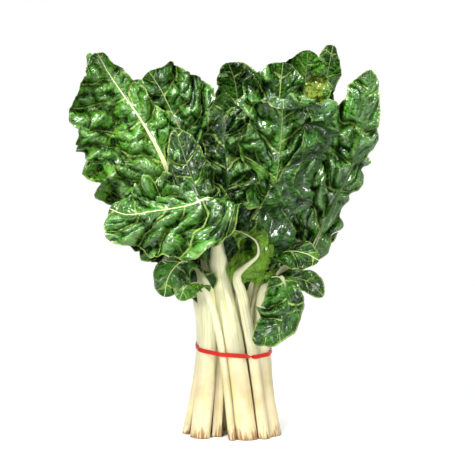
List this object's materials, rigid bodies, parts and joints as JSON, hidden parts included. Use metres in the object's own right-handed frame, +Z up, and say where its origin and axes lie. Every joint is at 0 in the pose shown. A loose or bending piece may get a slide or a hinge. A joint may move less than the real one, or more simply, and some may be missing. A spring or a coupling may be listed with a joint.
{
  "type": "chard bunch",
  "caption": "A bunch of dark green, crinkled chard leaves on pale stalks, tied round the stalks by a red rubber band and standing on its cut ends.",
  "frame": {"origin": "on the cut end of the middle stalk, at the level that all the cut ends stand on", "axes": "+Z up along the stalks towards the leaves, +X to the right and +Y away from a viewer in front"},
  "size_m": [0.3425, 0.2856, 0.4444],
  "materials": {
    "leaf": "glossy waxy leaf blade, with a cream stalk and midrib",
    "band": "satin"
  },
  "bodies": {
    "root": {"leaf_front_flop": "leaf", "leaf_front_kink": "leaf", "leaf_front_hanging_right": "leaf", "leaf_front_hanging_left": "leaf", "leaf_front_small": "leaf", "leaf_right_small": "leaf", "leaf_centre_cup": "leaf", "leaf_centre_dark": "leaf", "leaf_right_tall": "leaf", "leaf_left_big": "leaf", "leaf_left_low": "leaf", "leaf_left_upright": "leaf", "leaf_top_centre": "leaf", "leaf_centre_left": "leaf", "leaf_centre_narrow": "leaf", "leaf_top_right": "leaf", "leaf_back_tip": "leaf", "leaf_back_right_tip": "leaf", "leaf_far_right": "leaf", "leaf_far_left": "leaf", "leaf_back_middle": "leaf", "leaf_back_right": "leaf", "leaf_back_left": "leaf", "rubber_band": "band"}
  },
  "joints": []
}
